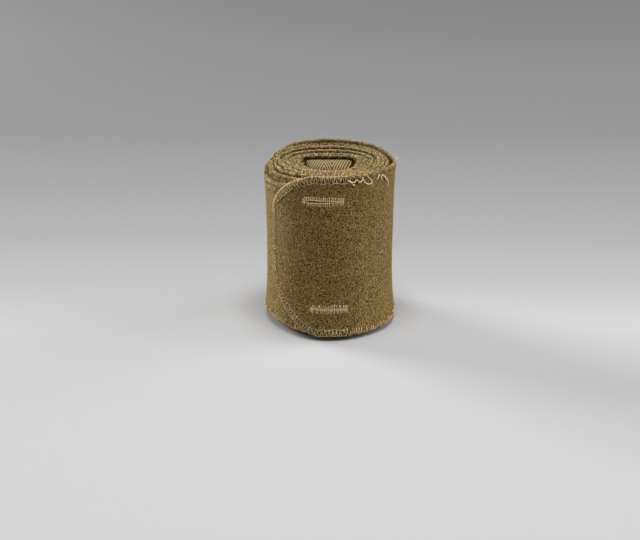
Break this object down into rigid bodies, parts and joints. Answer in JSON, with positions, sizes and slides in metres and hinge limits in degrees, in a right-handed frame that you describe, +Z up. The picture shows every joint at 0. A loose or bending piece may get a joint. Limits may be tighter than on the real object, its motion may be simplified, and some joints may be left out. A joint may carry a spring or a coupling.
{
  "type": "rolled wool puttee",
  "caption": "Strip of wool cloth for wrapping the lower leg, rolled up and standing on its edge, with buttonholes near its rounded end and a tie tape folded in the core.",
  "frame": {"origin": "centre of the roll's base, on the surface that it stands on", "axes": "+Z up along the roll's axis; -Y towards the front, where the strip's rounded end and its buttonholes lie; +X to the right of someone who faces the front"},
  "size_m": [0.0773, 0.0765, 0.098],
  "materials": {
    "wool": "matt pebbled wool crepe in khaki, with overlocked edges",
    "cotton_tape": "matt cotton herringbone tape"
  },
  "bodies": {
    "root": {"end_turn": "wool", "turn_2": "wool", "turn_3": "wool", "turn_4": "wool", "turn_5": "wool", "turn_6": "wool", "turn_7": "wool", "turn_8": "wool", "turn_9": "wool", "tie_tape": "cotton_tape"}
  },
  "joints": []
}
